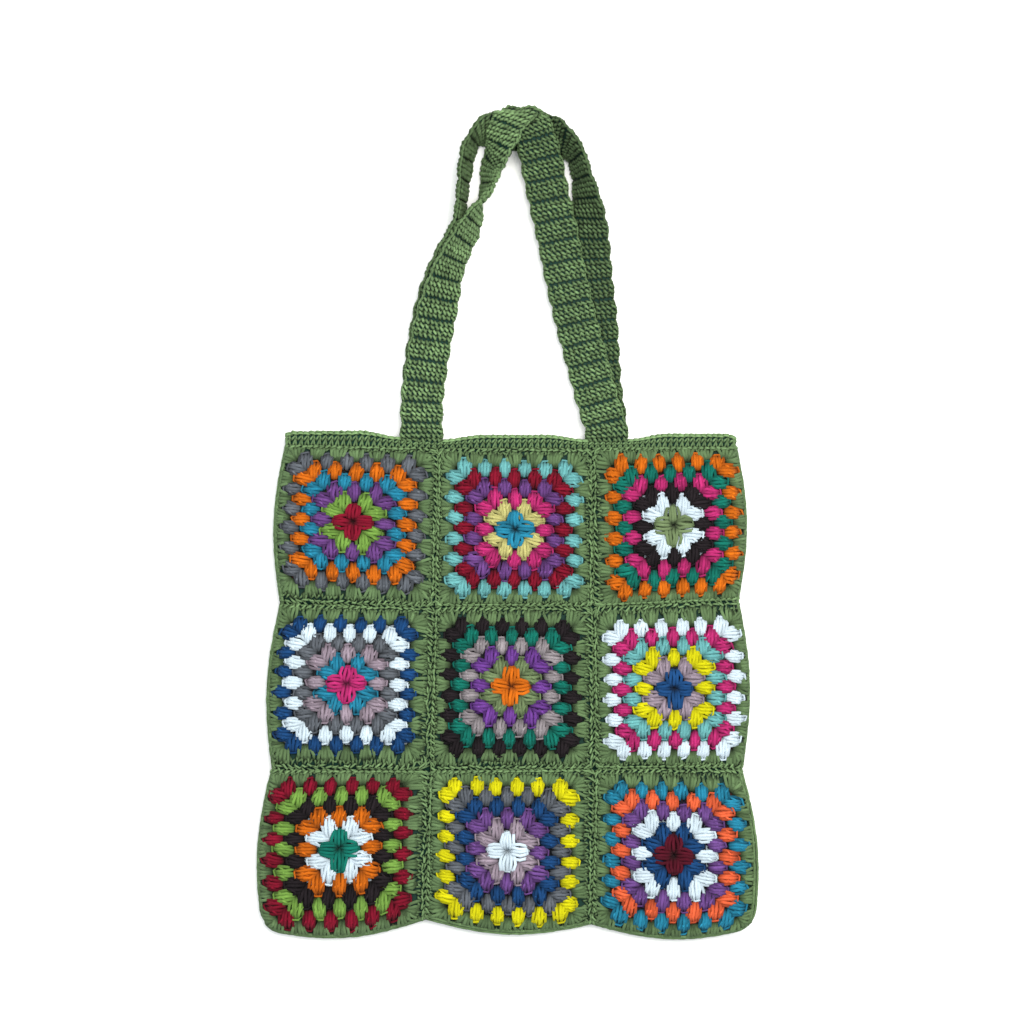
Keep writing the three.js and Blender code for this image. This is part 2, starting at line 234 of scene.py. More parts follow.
def panel_plan(u, v):
    """Plan position at u columns from the left and v rows above the hem."""
    column = np.clip(np.floor(u), 0, COLUMNS - 1).astype(int)
    row = np.clip(np.floor(v), 0, ROWS - 1).astype(int)
    s = u - column
    t = v - row

    def corner_mix(grid):
        low = mix(grid[row, column], grid[row, column + 1], s)
        high = mix(grid[row + 1, column], grid[row + 1, column + 1], s)
        return mix(low, high, t)

    def nearness(distance):
        return np.maximum(0, 1 - distance) ** 2

    swell = SIDE_SWELL * np.sin(np.pi * t)
    x = PANEL_WIDTH * corner_mix(CROSSINGS_X)
    y = PANEL_HEIGHT * corner_mix(CROSSINGS_Y)
    x = x + swell * (nearness(COLUMNS - u) - nearness(u))
    y = y - HEM_SWELL * np.sin(np.pi * s) * nearness(v)
    p = np.maximum(0, 1 - np.minimum(u, COLUMNS - u) * PITCH_X / HEM_CORNER)
    q = np.maximum(0, 1 - v * PITCH_Y / HEM_CORNER)
    x = x - np.sign(u - COLUMNS / 2) * HEM_CORNER * p * (1 - np.sqrt(1 - q * q / 2))
    y = y + HEM_CORNER * q * (1 - np.sqrt(1 - p * p / 2))
    return x, y


def fold_at(distance):
    """Share of a wall's height at a distance from a fold, where the wall turns over."""
    inset = np.maximum(0, 1 - distance / FOLD_RUN)
    return np.sqrt(1 - inset * inset)


def dome_at(share):
    return 1 - np.abs(2 * share - 1) ** 3


def wall(u, v, front):
    """The outer surface of the front or back wall, in the part's frame."""
    x, y = panel_plan(u, v)
    side = fold_at(np.minimum(u, COLUMNS - u) * PITCH_X)
    hem = fold_at(v * PITCH_Y)
    top = FRONT_TOP + DOME * dome_at(u % 1) * dome_at(v % 1) if front else np.zeros_like(x)
    rim = RIM + GAP / 2 if front else RIM - GAP / 2
    z = mix(rim, top, side * hem)
    return np.stack([x + MIDDLE[0], y + MIDDLE[1], z], -1)


def outward(surface, u, v, low, high, flip):
    """Unit normals of a surface of two shares, by differences kept inside its range."""
    step = 0.004
    u0, u1 = np.clip(u - step, low[0], high[0]), np.clip(u + step, low[0], high[0])
    v0, v1 = np.clip(v - step, low[1], high[1]), np.clip(v + step, low[1], high[1])
    along_u = surface(u1, v) - surface(u0, v)
    along_v = surface(u, v1) - surface(u, v0)
    return unit(np.cross(along_u, along_v)) * (-1 if flip else 1)


def mouth_distance(x):
    """Distance from the middle of the nearer foot of a handle."""
    feet = np.array([HANDLE_SHIFT - STRAP_SPACING / 2, HANDLE_SHIFT + STRAP_SPACING / 2])
    return np.abs(x[..., None] - feet).min(-1)


def mouth_edge(x):
    away = mouth_distance(x) - (STRAP_WIDTH / 2 + 1 * MM)
    t = np.clip(away / MOUTH_EASE, 0, 1)
    return ROOT_LINE + MOUTH_RISE * t * t * (3 - 2 * t)


def band_wall(u, e, front):
    """The outer surface of the mouth's band: e runs from its foot, 0, to its free edge, 1."""
    x, foot = panel_plan(u, np.full_like(u, ROWS))
    rise = fold_at(np.minimum(u, COLUMNS - u) * PITCH_X)
    y = mix(foot + GAP / 2, mouth_edge(x), e)
    z = mix(RIM, FRONT_TOP if front else 0, rise)
    return np.stack([x + MIDDLE[0], y + MIDDLE[1], z], -1)


# Yarn strands

STRAND_SIDES = 4
CORD_SIDES = 5  # of the yarn that runs along a fold
STRAND_FLAT = 0.9  # a strand's height as a share of its width
END_TAPER = 0.6  # a strand's radius at its ends, as a share of its own


def tapered(number, end=END_TAPER):
    """Shares of the radius along a strand, thinner at both ends."""
    taper = np.ones(number)
    taper[0] = taper[-1] = end
    return taper


class Skein:
    """Gathers strands of yarn, and makes one mesh of them."""

    def __init__(self):
        self.points = []
        self.tones = []
        self.corners = []
        self.corner_uvs = []
        self.sizes = []
        self.yarns = []
        self.count = 0

    def _keep(self, points, tones, quads, uvs, yarns):
        self.points.append(points.reshape(-1, 3))
        self.tones.append(tones.reshape(-1))
        self.corners.append(quads.reshape(-1) + self.count)
        self.corner_uvs.append(uvs.reshape(-1, 2))
        self.sizes.append(np.full(quads.size // 4, 4))
        self.yarns.append(yarns.reshape(-1))
        self.count += self.points[-1].shape[0]

    def strands(self, lines, normals, radii, tones, yarns, sides=STRAND_SIDES, flat=STRAND_FLAT):
        """Tubes along lines (strand, point, xyz), with the width across the normals."""
        lines = np.asarray(lines, float)
        number, length = lines.shape[:2]
        radii = np.broadcast_to(radii, (number, length))
        tones = np.broadcast_to(tones, (number, length))
        yarns = np.broadcast_to(yarns, (number,))
        travel = unit(np.gradient(lines, axis=1))
        across = unit(np.cross(normals, travel))
        over = np.cross(travel, across)
        angle = (np.arange(sides) + 0.5) * 2 * np.pi / sides
        sideways = across[:, :, None] * np.cos(angle)[:, None]
        upwards = over[:, :, None] * (flat * np.sin(angle)[:, None])
        points = lines[:, :, None] + (sideways + upwards) * radii[:, :, None, None]
        run = np.cumsum(np.linalg.norm(np.diff(lines, axis=1, prepend=lines[:, :1]), axis=-1), axis=1) / MM
        first = (np.arange(number) * length * sides)[:, None, None]
        m = np.arange(length - 1)[None, :, None]
        s = np.arange(sides)[None, None, :]
        s1 = (s + 1) % sides
        low, high = first + m * sides, first + (m + 1) * sides
        quads = np.stack([low + s, low + s1, high + s1, high + s], -1)
        near = np.broadcast_to(run[:, :-1, None], quads.shape[:3])
        far = np.broadcast_to(run[:, 1:, None], quads.shape[:3])
        turn = np.broadcast_to(s / sides, quads.shape[:3])
        turn1 = turn + 1 / sides
        uvs = np.stack([
            np.stack([near, turn], -1), np.stack([near, turn1], -1),
            np.stack([far, turn1], -1), np.stack([far, turn], -1),
        ], -2)
        ring_tones = np.repeat(tones[:, :, None], sides, 2)
        self._keep(points, ring_tones, quads, uvs, np.repeat(yarns, quads.shape[1] * sides))
        start = self.count - points.size // 3
        order = np.arange(sides)
        caps = np.stack([first[:, 0] + order[::-1], first[:, 0] + (length - 1) * sides + order], 1)
        ends = np.stack([run[:, 0], run[:, -1]], 1)[:, :, None, None]
        cap_uvs = np.broadcast_to(np.concatenate([ends, ends * 0 + 0.5], -1), caps.shape + (2,))
        self.corners.append(caps.reshape(-1) + start)
        self.corner_uvs.append(cap_uvs.reshape(-1, 2))
        self.sizes.append(np.full(number * 2, sides))
        self.yarns.append(np.repeat(yarns, 2))

    def slab(self, outer, inner, tone_and_painted_shade, yarns):
        """A closed slab between two grids of points, with outer on the outside."""
        nv, nu = outer.shape[:2]
        index = np.arange(nv * nu).reshape(nv, nu)
        back = index + nv * nu

        def grid(a, flip):
            quads = np.stack([a[:-1, :-1], a[:-1, 1:], a[1:, 1:], a[1:, :-1]], -1)
            return (quads[..., ::-1] if flip else quads).reshape(-1, 4)

        def side(a, b):
            return np.stack([b[:-1], b[1:], a[1:], a[:-1]], -1)

        quads = np.concatenate([
            grid(index, False), grid(back, True),
            side(index[0], back[0]), side(index[-1][::-1], back[-1][::-1]),
            side(index[:, -1], back[:, -1]), side(index[:, 0][::-1], back[:, 0][::-1]),
        ])
        points = np.concatenate([outer.reshape(-1, 3), inner.reshape(-1, 3)])
        uvs = np.zeros((len(quads), 4, 2))
        face_yarns = np.concatenate([yarns.reshape(-1), np.full(len(quads) - yarns.size, yarns.flat[0])])
        tones = np.broadcast_to(tone_and_painted_shade, outer.shape[:2]).ravel()
        self._keep(points, np.concatenate([tones, tones]), quads, uvs, face_yarns)

    def mesh(self, name, materials):
        """One object of all that was gathered, with its tones and the strands' own UVs."""
        mesh = bpy.data.meshes.new(name)
        points = np.concatenate(self.points)
        corners = np.concatenate(self.corners)
        sizes = np.concatenate(self.sizes)
        mesh.vertices.add(len(points))
        mesh.vertices.foreach_set("co", points.astype(np.float32).ravel())
        mesh.loops.add(len(corners))
        mesh.loops.foreach_set("vertex_index", corners.astype(np.int32))
        mesh.polygons.add(len(sizes))
        mesh.polygons.foreach_set("loop_start", (np.cumsum(sizes) - sizes).astype(np.int32))
        mesh.polygons.foreach_set("material_index", np.concatenate(self.yarns).astype(np.int32))
        mesh.update(calc_edges=True)
        layer = mesh.uv_layers.new(name="yarn")
        layer.uv.foreach_set("vector", np.concatenate(self.corner_uvs).astype(np.float32).ravel())
        # each point's tone: the strand's random tone times its painted shade and highlight
        tone_and_painted_shade = mesh.attributes.new("tone_and_painted_shade", "FLOAT", "POINT")
        tone_and_painted_shade.data.foreach_set("value", np.concatenate(self.tones).astype(np.float32))
        for material in materials:
            mesh.materials.append(material)
        mesh.shade_smooth()
        piece = bpy.data.objects.new(name, mesh)
        bpy.context.scene.collection.objects.link(piece)
        return piece


# Yarn materials

def linear(colour):
    return tuple(c / 12.92 if c <= 0.04045 else ((c + 0.055) / 1.055) ** 2.4 for c in colour)


def luminance(base):
    return float(np.dot(base, (0.2126, 0.7152, 0.0722)))


PLIES = 3
TWIST = 0.42  # turns of the plies for each millimetre of strand
FIBRE_SCALE = 1400
DYE_SCALE = 70
DARKEST = 0.4  # the yarn's dark and light parts, as shares of its colour
LIGHTEST = 1.4
PLY_SHARE = 0.35  # how much the plies, fibres and dye lighten it; the plies' stripes are painted shade between them
FIBRE_SHARE = 0.5
DYE_SHARE = 0.55
DEPTH_POWER = 1.3  # how strongly a strand's painted shade darkens the darkest yarn
DEPTH_EASE = 1.9  # how much less it darkens light yarns, which scatter light between strands


def yarn_material(name, colour):
    """Plied yarn: twisted plies and fine fibres as bump, a soft sheen and an uneven dye."""
    material = bpy.data.materials.new("yarn_" + name)
    material.use_nodes = True
    nodes = material.node_tree.nodes
    links = material.node_tree.links
    shader = nodes["Principled BSDF"]
    shader.inputs["Sheen Weight"].default_value = 0.02
    shader.inputs["Sheen Roughness"].default_value = 0.45
    shader.inputs["Specular IOR Level"].default_value = 0.1

    def node(kind, **values):
        made = nodes.new(kind)
        for key, value in values.items():
            setattr(made, key, value)
        return made

    def maths(operation, a, b=0.0):
        made = node("ShaderNodeMath", operation=operation)
        for socket, value in zip(made.inputs, (a, b)):
            if isinstance(value, bpy.types.NodeSocket):
                links.new(value, socket)
            else:
                socket.default_value = value
        return made.outputs[0]

    def plus(*values):
        total = values[0]
        for value in values[1:]:
            total = maths("ADD", total, value)
        return total

    def noise(scale, detail):
        made = node("ShaderNodeTexNoise")
        made.inputs["Scale"].default_value = scale
        made.inputs["Detail"].default_value = detail
        links.new(place.outputs["Object"], made.inputs["Vector"])
        return made.outputs["Fac"]

    place = node("ShaderNodeTexCoord")
    strand = node("ShaderNodeUVMap", uv_map="yarn")
    split = node("ShaderNodeSeparateXYZ")
    links.new(strand.outputs["UV"], split.inputs[0])
    along = maths("MULTIPLY", split.outputs["X"], 2 * math.pi * TWIST * PLIES)
    around = maths("MULTIPLY", split.outputs["Y"], 2 * math.pi * PLIES)
    # the plies' twist, used as bump and as painted shade in the grooves between plies
    ply = plus(maths("MULTIPLY", maths("SINE", plus(along, around)), 0.5), 0.5)
    fibre = noise(FIBRE_SCALE, 3)
    dye = noise(DYE_SCALE, 2)
    tone_and_painted_shade = node("ShaderNodeAttribute", attribute_name="tone_and_painted_shade")

    base = np.array(linear(colour))
    dark = tuple(base * DARKEST) + (1,)
    light = tuple(np.minimum(base * LIGHTEST + 0.004, 1)) + (1,)
    parts = ((ply, PLY_SHARE), (fibre, FIBRE_SHARE), (dye, DYE_SHARE))
    share = plus(*(maths("MULTIPLY", part, weight) for part, weight in parts))
    yarn = node("ShaderNodeMix", data_type="RGBA")
    links.new(share, yarn.inputs["Factor"])
    yarn.inputs["A"].default_value = dark
    yarn.inputs["B"].default_value = light
    shaded = node("ShaderNodeMix", data_type="RGBA", blend_type="MULTIPLY")
    shaded.inputs["Factor"].default_value = 1
    links.new(yarn.outputs["Result"], shaded.inputs["A"])
    # painted shade and highlight from the tone attribute, weaker on light yarns
    depth = maths("POWER", tone_and_painted_shade.outputs["Fac"], DEPTH_POWER - DEPTH_EASE * luminance(base))
    links.new(depth, shaded.inputs["B"])
    links.new(shaded.outputs["Result"], shader.inputs["Base Color"])

    links.new(plus(maths("MULTIPLY", fibre, 0.3), 0.5), shader.inputs["Roughness"])
    height = plus(maths("MULTIPLY", fibre, 0.5), ply)
    bump = node("ShaderNodeBump")
    bump.inputs["Strength"].default_value = 0.7
    bump.inputs["Distance"].default_value = 0.3 * MM
    links.new(height, bump.inputs["Height"])
    links.new(bump.outputs["Normal"], shader.inputs["Normal"])
    return material


MATERIALS = {name: yarn_material(name, colour) for name, colour in YARNS.items()}


def keep_piece(skein, name, yarns, node):
    """Makes the piece of a skein with its yarns' materials, rides it on the root and hides the part that it
    stands for.
    """
    piece = skein.mesh(name, [MATERIALS[yarn] for yarn in yarns])
    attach(piece, "root")
    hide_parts(node)


# Granny squares

ROUND_ENDS = [0, 0.26, 0.405, 0.525, 0.655, 0.78, 0.895, 0.95]  # outer end of each round
COLUMN = 0.257  # from one cluster of a round to the next
ROUNDS = 7  # six coloured rounds and the green edge
MIDDLE_HOLE = 0.13  # where the second round's clusters go in
CLUSTER_HALF = 0.072
GREEN_PAINTED_SHADE = 0.81  # painted shade: the squares' green lies deeper than the straps', and is painted darker
FAN_START = 0.775
CORNER_BASE = 0.015  # how much further in the corner clusters begin
CORNER_LEAN = 0.015  # how far their outer ends lean into the corner
CORNER_PINCH = 0.75  # how narrow they begin
FAN_LEAN = 0.045  # how far the corner fans lean into the corner
TURN_FILL = 3.0  # how much further out the front's stitches stand where the wall turns over, mm
LEFT_FILL = 1.2  # the same at the left side
# How each square is drawn out of true, rows from the mouth to the hem: where its coloured rounds
# end at the left, have their middle and end at the right, the same upwards, then lean and slope
LIES = [
    [
        (-0.93, -0.05, 0.87, -0.84, 0.05, 0.91, 0, -0.04),
        (-0.9, 0, 0.88, -0.91, -0.03, 0.86, -0.01, -0.02),
        (-0.83, 0.09, 0.98, -0.95, -0.01, 0.92, -0.03, 0.03),
    ],
    [
        (-0.94, -0.06, 0.82, -0.81, 0.06, 0.88, -0.01, 0),
        (-0.9, -0.03, 0.84, -0.86, 0.03, 0.86, 0.01, -0.03),
        (-0.88, 0.08, 0.98, -0.9, -0.03, 0.82, -0.01, 0),
    ],
    [
        (-0.96, -0.06, 0.82, -0.96, 0.03, 0.92, -0.04, 0.03),
        (-0.9, -0.04, 0.84, -0.93, -0.03, 0.91, -0.03, -0.03),
        (-0.9, 0.01, 0.92, -0.96, -0.06, 0.84, 0.02, -0.04),
    ],
]


def side_turns(points, quarter):
    """Turns points of the upper side to one of the four sides, quarter turns clockwise."""
    a, b = points[..., 0], points[..., 1]
    turned = [(a, b), (b, -a), (-a, -b), (-b, a)][quarter]
    return np.stack(turned, -1)


def cluster_frames():
    """Base, top and round of each cluster, and whether it is a corner's, for all four sides."""
    frames = []
    for quarter in range(4):
        upper = [((0.0, 0.0), (0.0, ROUND_ENDS[1]), 1, False)]
        for number in range(2, ROUNDS + 1):
            last = (number - 1) / 2
            start = ROUND_ENDS[number - 2] if number > 2 else MIDDLE_HOLE
            if number == ROUNDS:
                start = FAN_START
            for j in range(number):
                across = (j - last) * COLUMN
                base = across
                depth = start
                in_corner = j in (0, number - 1)
                if in_corner:
                    depth = start - (CORNER_BASE if number < ROUNDS else 0)
                    base = math.copysign(depth, across)
                    across += math.copysign(CORNER_LEAN if number < ROUNDS else FAN_LEAN, across)
                upper.append(((base, depth), (across, ROUND_ENDS[number]), number, in_corner))
        for base, top, number, in_corner in upper:
            ends = side_turns(np.array([base, top]), quarter)
            frames.append((ends[0], ends[1], number, in_corner))
    bases, tops, rounds, corner = zip(*frames)
    return np.array(bases), np.array(tops), np.array(rounds), np.array(corner)


PAINTED_DEEP_SHADE = 0.1  # painted shade: tone of what lies on the ground
FULL_HEIGHT = 2.6  # height in mm at which a strand has its own colour: painted shade below it, painted highlight above
FRONT_LIFT = -2.0  # height of the ground's face over the wall's surface, mm
BACK_LIFT = -3.3
BACK_RELIEF = 0.85  # share of the paths' heights that the back shows
EDGE_MARGIN = 0.0012  # how far inside the bag's edges strands stay, in squares
SLANT = (0.16, 0.22)  # mean and spread of a cluster's slant, in half widths
HEIGHT_SPREAD = 0.1
TONE_SPREAD = 0.11


def painted_depth_shading(heights):
    """Painted shade and highlight: strands that lie deep are painted darker, and the highest painted
    lighter.
    """
    return PAINTED_DEEP_SHADE + (1 - PAINTED_DEEP_SHADE) * np.clip(heights / FULL_HEIGHT, 0, 1.2) ** 1.5


class Square:
    """One granny square of a wall: places strands given in shares of it."""

    def __init__(self, column, row, front, seed):
        self.column = column
        self.row = row
        self.front = front
        self.random = np.random.default_rng(seed)
        self.lift = FRONT_LIFT if front else BACK_LIFT
        self.skein = Skein()

    def surface(self, u, v):
        return wall(u, v, self.front)

    def drawn(self, a, b):
        """Points of a true square, from -1 to 1 both ways, drawn to where they lie."""
        left, middle, right, low, centre, high, lean, slope = LIES[ROWS - 1 - self.row][self.column]
        knots = (-1, -ROUND_ENDS[6], 0, ROUND_ENDS[6], 1)
        a1 = np.interp(a, knots, (-1, left, middle, right, 1)) + a - np.clip(a, -1, 1)
        b1 = np.interp(b, knots, (-1, low, centre, high, 1)) + b - np.clip(b, -1, 1)
        inner_a, inner_b = (1 - np.clip(c, -1, 1) ** 6 for c in (a1, b1))
        return a1 + lean * b1 * inner_a, b1 + slope * a1 * inner_b

    def fill(self, u, v):
        """How much further out the stitches stand where the wall turns over, in mm."""
        left, right, hem = (fold_at(d) for d in (u * PITCH_X, (COLUMNS - u) * PITCH_X, v * PITCH_Y))
        return np.maximum(TURN_FILL * (1 - right * hem), LEFT_FILL * (1 - left)) if self.front else 0

    def place(self, points, heights):
        """Points of a square (a, b from -1 to 1) at heights in mm above its ground."""
        a, b = self.drawn(points[..., 0], points[..., 1])
        u = np.clip(self.column + (a + 1) / 2, EDGE_MARGIN, COLUMNS - EDGE_MARGIN)
        v = np.clip(self.row + (b + 1) / 2, EDGE_MARGIN, ROWS - EDGE_MARGIN)
        normals = outward(self.surface, u, v, (0, 0), (COLUMNS, ROWS), not self.front)
        lifted = self.surface(u, v) + normals * ((heights + self.lift + self.fill(u, v)) * MM)[..., None]
        return above_floor(lifted), normals

    def lay(self, path, bases, tops, widths, radius, yarns, jitter=0.006, bright=1.0, **form):
        """Lays a strand, given as (along, across, height), on every cluster."""
        path = np.asarray(path, float)
        if not self.front:
            path = path * (1, 1, BACK_RELIEF)
        axis = tops - bases
        lateral = unit(np.stack([axis[:, 1], -axis[:, 0]], -1)) * widths[:, None]
        number = len(bases)
        wander = self.random.normal(0, jitter, (number, len(path), 2))
        slant = self.random.normal(*SLANT, (number, 1)) * (path[None, :, 0] - 0.5)
        points = (
            bases[:, None] + axis[:, None] * path[None, :, :1]
            + lateral[:, None] * (path[None, :, 1] + slant)[..., None] + wander
        )
        heights = path[None, :, 2] + self.random.normal(0, HEIGHT_SPREAD, (number, 1))
        lines, normals = self.place(points, heights)
        tones = self.random.normal(bright, TONE_SPREAD, (number, 1)) * painted_depth_shading(heights)
        self.skein.strands(lines, normals, radius * MM * tapered(len(path)), tones, yarns, **form)


# Paths of a cluster's strands: (along from base to top, across in half widths, height in mm)

STITCH = 0.62  # spacing of a cluster's three stitches, as a share of its half width
POSTS = (-0.8, -0.4, 0, 0.4, 0.8)  # strands of a cluster's posts, in shares of its half width


def post_path(x, pinch):
    """A strand of a post: in over the round inside, swelling, then drawn together."""
    droop = 1 - 0.5 * x * x
    rounded = 0.12 * x * x
    return [
        (-0.04 + rounded, x * 0.8 * pinch, -0.5),
        (0.08 + rounded, x * mix(pinch, 1, 0.6), 2.0 * droop),
        (0.34, x * 1.15 + 0.03, 3.1 * droop),
        (0.66, x * 1.15 + 0.03, 2.9 * droop),
        (0.98 - rounded, x * 0.98, 1.5),
    ]


def plain_post_path(x):
    """A strand of a post of the back."""
    return [(-0.04, x * 0.7, -0.4), (0.2, x, 2.3), (0.6, x * 0.95, 2.3), (0.96, x * 0.9, 1.3)]


def wrap_path(stitch):
    """The yarn laid over each post on the slant."""
    x = stitch * STITCH
    return [(0.36, x - 0.34, 2.2), (0.55, x + 0.02, 3.4), (0.78, x + 0.34, 2.2)]


CORE = [(0.04, 0, 0.6), (0.3, 0, 1.7), (0.66, 0, 1.6), (0.94, 0, 0.6)]  # the yarn inside a cluster
FAN_CORE = [(0.05, 0, 0.8), (0.4, 0, 1.5), (0.8, 0, 1.5), (1.05, 0, 0.8)]
CAP = [(0.78, -0.85, 1.3), (0.91, -0.4, 2.5), (0.93, 0.35, 2.4), (0.84, 0.8, 1.3)]


def fan_path(x):
    """A strand of an edge fan, together at the tip and spread at the border."""
    return [
        (-0.05, x * 0.35, -0.5),
        (0.15, x * 0.7, 1.1),
        (0.45, x * 1.2, 2.3),
        (0.8, x * 1.55, 2.5),
        (1.08, x * 1.6, 0.8),
    ]


def petal_path(x):
    """A strand of a petal of the middle, broad inside and drawn together outside."""
    return [
        (0.06, x * 0.8, 1.2),
        (0.28, x * 1.45, 2.8),
        (0.56, x * 1.5, 3.4),
        (0.82, x * 1.25, 2.9),
        (1.0, x * 0.95, 1.1),
    ]


POST_RADIUS = 1.5  # radii of the strands in mm
BACK_POST_RADIUS = 1.15
PETAL_RADIUS = 1.6
FAN_RADIUS = 1.55
CORE_RADIUS = 3.6
FAN_CORE_RADIUS = 4.0
WRAP_RADIUS = 1.05
CAP_RADIUS = 0.9
EDGE_RADIUS = 1.0
RIDGE_RADIUS = 0.95
FOLD_RADIUS = 1.2
FAN_FORM = {"flat": 0.65, "bright": GREEN_PAINTED_SHADE * 0.9}
CORE_FORM = {"sides": 6, "flat": 0.38, "bright": 0.95}
FAN_CORE_FORM = {"sides": 6, "flat": 0.3, "bright": GREEN_PAINTED_SHADE}
WRAP_SHADE = 1.06
BASE_WANDER = 0.006  # how far a cluster's base and top lie from their places, in half sides
TOP_WANDER = 0.011
CORNER_WIDTH = 1.15  # width of a corner's clusters, as a share of the others'
EDGE_YARN = 6  # places of the green edge's yarn and of the ground's under it in a square's list
GROUND_YARN = 7


def weave_square(square, yarns):
    """All strands of one square. Yarns holds a material number for each round, then the ground's."""
    bases, tops, rounds, corner = cluster_frames()
    bases = bases + square.random.normal(0, BASE_WANDER, bases.shape)
    tops = tops + square.random.normal(0, TOP_WANDER, tops.shape)
    widths = CLUSTER_HALF * square.random.normal(1, 0.05, len(rounds))
    widths = widths * np.where(corner, CORNER_WIDTH, 1.0)
    colour = yarns[rounds - 1]
    middle = rounds == 1
    fans = rounds == ROUNDS
    clusters = ~(middle | fans)
    capped = clusters | middle

    def lay(path, chosen, radius, **looks):
        square.lay(path, bases[chosen], tops[chosen], widths[chosen], radius, colour[chosen], **looks)

    for x in POSTS:
        if square.front:
            lay(post_path(x, 1.0), clusters & ~corner, POST_RADIUS)
            lay(post_path(x, CORNER_PINCH), clusters & corner, POST_RADIUS)
        else:
            lay(plain_post_path(x), clusters, BACK_POST_RADIUS)
        lay(petal_path(x), middle, PETAL_RADIUS)
        lay(fan_path(x), fans, FAN_RADIUS, **FAN_FORM)
    if square.front:
        lay(CORE, capped, CORE_RADIUS, **CORE_FORM)
        for stitch in (-1, 0, 1):
            lay(wrap_path(stitch), clusters, WRAP_RADIUS, bright=WRAP_SHADE)
    lay(CAP, capped, CAP_RADIUS)
    weave_border(square, yarns[EDGE_YARN])
    if square.front:
        lay(FAN_CORE, fans, FAN_CORE_RADIUS, **FAN_CORE_FORM)


STITCHES = 25  # edge stitches along one side of a square
EDGE_START = 0.915  # where they begin
EDGE_DRAW = 0.95  # how much closer together they begin than they end
EDGE_LEGS = [
    [(0.0, -0.75, 0.2), (0.28, -0.4, 2.4), (0.62, 0.15, 1.5)],
    [(0.05, 0.8, 0.2), (0.25, 0.55, 2.1), (0.6, 0.3, 1.3)],
]
EDGE_RIDGE = [
    [(0.56, -1.3, 1.2), (0.62, -0.5, 2.7), (0.74, 0.4, 2.7), (0.8, 1.0, 1.4)],
    [(0.95, -1.2, 1.0), (0.9, -0.4, 2.3), (0.8, 0.8, 1.6)],
]
LEG_LOOKS = {"jitter": 0.008, "bright": GREEN_PAINTED_SHADE * 1.1}
RIDGE_LOOKS = {"jitter": 0.007, "bright": GREEN_PAINTED_SHADE * 1.16}


def weave_border(square, yarn):
    """The single crochet row and the chain ridge along a square's four edges."""
    pitch = 2 / STITCHES
    across = -1 + (np.arange(STITCHES) + 0.5) * pitch
    ones = np.ones(STITCHES)
    shown = 2 if square.front else 1  # strands of each stitch
    for quarter in range(4):
        base = side_turns(np.stack([across * EDGE_DRAW, EDGE_START * ones], -1), quarter)
        top = side_turns(np.stack([across, ones], -1), quarter)
        widths = pitch / 2 * ones
        for path in EDGE_LEGS[:shown]:
            square.lay(path, base, top, widths, EDGE_RADIUS, yarn, **LEG_LOOKS)
        at_side = (quarter, square.column) in ((1, COLUMNS - 1), (3, 0))
        at_hem = (quarter, square.row) == (2, 0)
        if at_side or at_hem:
            weave_fold(square, quarter, yarn)
            continue
        for path in EDGE_RIDGE[:shown]:
            square.lay(path, base, top, widths, RIDGE_RADIUS, yarn, **RIDGE_LOOKS)


FOLD_ROWS = ((0.95, 1.7), (0.985, 1.4))  # rows of yarn along a fold: where, and how high in mm
FOLD_POINTS = 50
FOLD_WANDER = 0.12  # spread of their height in mm
FOLD_TONES = (0.95, 0.12)  # mean and spread


def weave_fold(square, quarter, yarn):
    """The yarn that runs along the fold of a side or of the hem."""
    along = np.linspace(-1, 1, FOLD_POINTS)
    for out, height in FOLD_ROWS:
        wander = square.random.normal(0, FOLD_WANDER, along.shape)
        points = side_turns(np.stack([along, np.full_like(along, out)], -1), quarter)[None]
        lines, normals = square.place(points, (height + wander)[None])
        tones = GREEN_PAINTED_SHADE * square.random.normal(*FOLD_TONES, along.shape)[None]
        square.skein.strands(lines, normals, FOLD_RADIUS * MM, tones, yarn, CORD_SIDES)


GROUND_STEPS = 30
GROUND_GATHER = 0.03  # how much closer together its points lie near a square's edges
GROUND_FILL = 0.8  # share of the stitches' fill that the ground follows
# painted shade of the ground between the stitches, under the coloured rounds and under the green edge
GROUND_PAINTED_SHADE = 0.06
BORDER_GROUND_PAINTED_SHADE = 0.18
BORDER_START = FAN_START + 0.04


def ground_square(square, yarns):
    """A slab of the same yarns under the stitches, as thick as the rest of the fabric, darkened with
    painted shade.
    """
    share = np.linspace(0, 1, GROUND_STEPS + 1)
    share = share - GROUND_GATHER * np.sin(2 * np.pi * share)
    clear = GAP / 2 / PITCH_X
    a, b = np.meshgrid(share, share)

    def inset(values, index, number):
        low = 0 if index == 0 else clear
        high = 0 if index == number - 1 else clear
        return index + low + values * (1 - low - high)

    drawn_a, drawn_b = square.drawn(2 * a - 1, 2 * b - 1)
    u = inset((drawn_a + 1) / 2, square.column, COLUMNS)
    v = inset((drawn_b + 1) / 2, square.row, ROWS)
    normals = outward(square.surface, u, v, (0, 0), (COLUMNS, ROWS), not square.front)
    surface = square.surface(u, v)
    lift = (square.lift + GROUND_FILL * square.fill(u, v)) * np.ones_like(u)
    outer = surface + normals * (lift * MM)[..., None]
    inner = surface - normals * FABRIC
    middle = (share[:-1] + share[1:]) - 1
    reach = np.maximum(np.abs(middle)[:, None], np.abs(middle)[None, :])
    coloured = np.clip(np.searchsorted(ROUND_ENDS, reach) - 1, 0, ROUNDS - 2)
    number = np.where(reach > BORDER_START, GROUND_YARN, coloured)
    if not square.front:
        outer, inner = outer[:, ::-1], inner[:, ::-1]
        number = number[:, ::-1]
    reach = np.maximum(np.abs(2 * a - 1), np.abs(2 * b - 1))
    tone_and_painted_shade = np.where(reach > BORDER_START, BORDER_GROUND_PAINTED_SHADE, GROUND_PAINTED_SHADE)
    square.skein.slab(outer, inner, tone_and_painted_shade, yarns[number])


